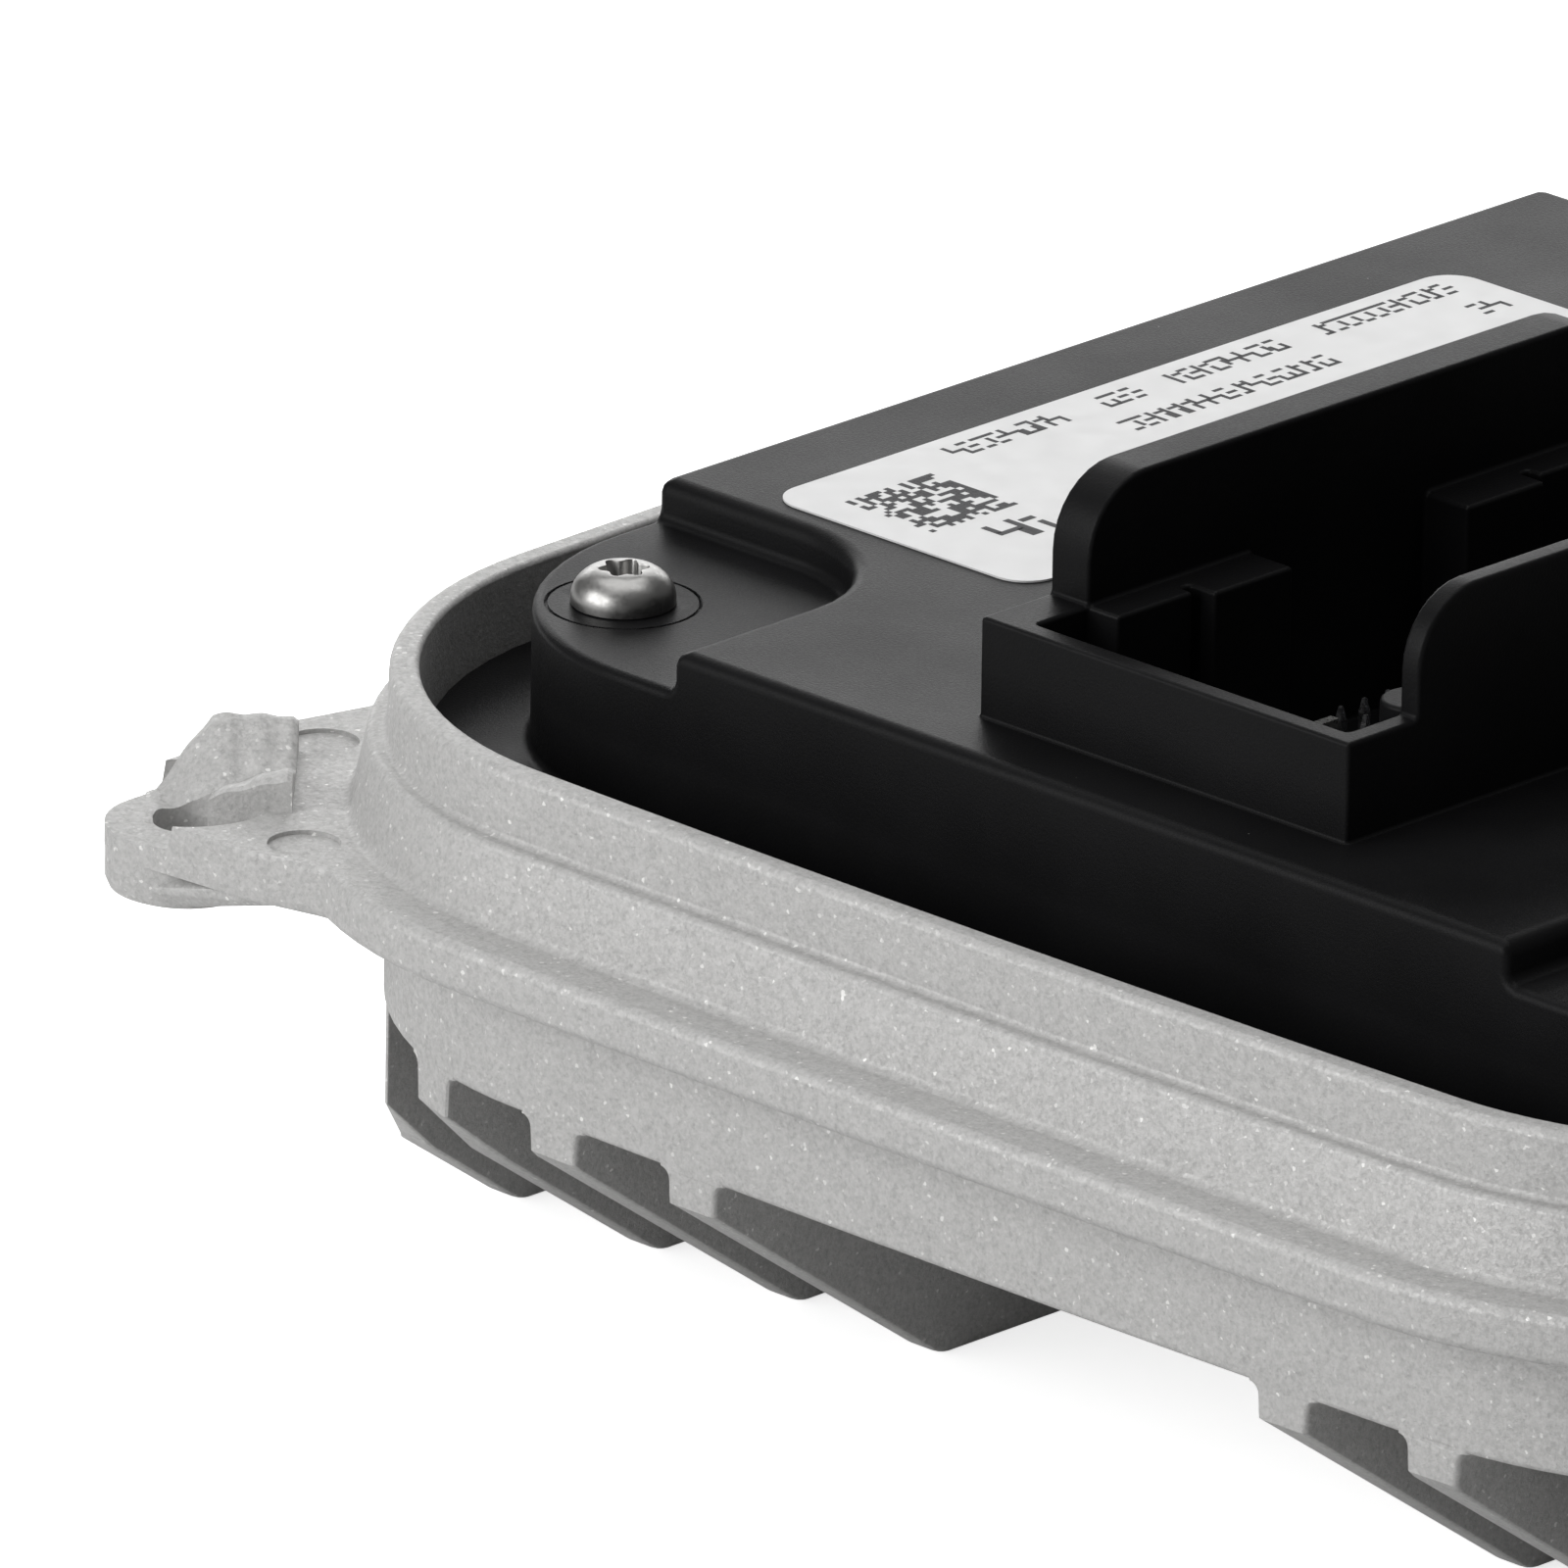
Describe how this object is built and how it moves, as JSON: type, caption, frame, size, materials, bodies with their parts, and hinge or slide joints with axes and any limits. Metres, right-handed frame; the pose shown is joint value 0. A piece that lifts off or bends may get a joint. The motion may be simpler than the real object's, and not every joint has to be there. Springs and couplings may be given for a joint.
{
  "type": "electronic control unit",
  "caption": "Sealed electronic control unit: finned die-cast housing with corner mounting ears, black moulded cover with open connector shroud, printed label.",
  "frame": {"origin": "centre of the whole box, in the plane of the fin tips", "axes": "+Z out of the connector, +Y along the fins and the connector, +X across the fins, away from the label"},
  "size_m": [0.1794, 0.1892, 0.0727],
  "materials": {
    "cast_aluminium": "blasted die-cast, fine sparkle",
    "moulded_plastic": "black, finely eroded",
    "sealing_rubber": "dull",
    "stainless_steel": "formed, slightly dull",
    "zinc_plated_steel": "plated",
    "board_laminate": "green solder resist",
    "carrier_plastic": "satin black",
    "gold_plating": "gold flash",
    "tin_plating": "tin plated",
    "thermal_rubber": "soft pad",
    "component_plastic": "moulding compound",
    "capacitor_can": "sleeved can",
    "ferrite": "pressed powder",
    "copper_wire": "enamelled copper",
    "shunt_alloy": "rolled",
    "crystal_can": "plated can",
    "ceramic": "fired ceramic",
    "membrane_film": "expanded film",
    "label_film": "satin film, black print"
  },
  "bodies": {
    "root": {"heatsink_housing": "cast_aluminium", "cover": "moulded_plastic", "cover_gasket": "sealing_rubber", "cover_screws": "stainless_steel", "compression_limiters": "zinc_plated_steel", "circuit_board": "board_laminate", "board_screws": "zinc_plated_steel", "board_dowels": "zinc_plated_steel", "pin_carrier": "carrier_plastic", "signal_pins": "gold_plating", "power_blades": "tin_plating", "thermal_pads": "thermal_rubber", "power_transistors": "component_plastic", "storage_capacitors": "capacitor_can", "choke_core": "ferrite", "choke_winding": "copper_wire", "current_shunt": "shunt_alloy", "microcontroller": "component_plastic", "gate_drivers": "component_plastic", "bus_transceivers": "component_plastic", "voltage_regulator": "component_plastic", "quartz_crystal": "crystal_can", "ceramic_capacitors": "ceramic", "chip_resistors": "component_plastic", "vent_cap": "moulded_plastic", "vent_membrane": "membrane_film", "vent_o_ring": "sealing_rubber", "label": "label_film"}
  },
  "joints": []
}
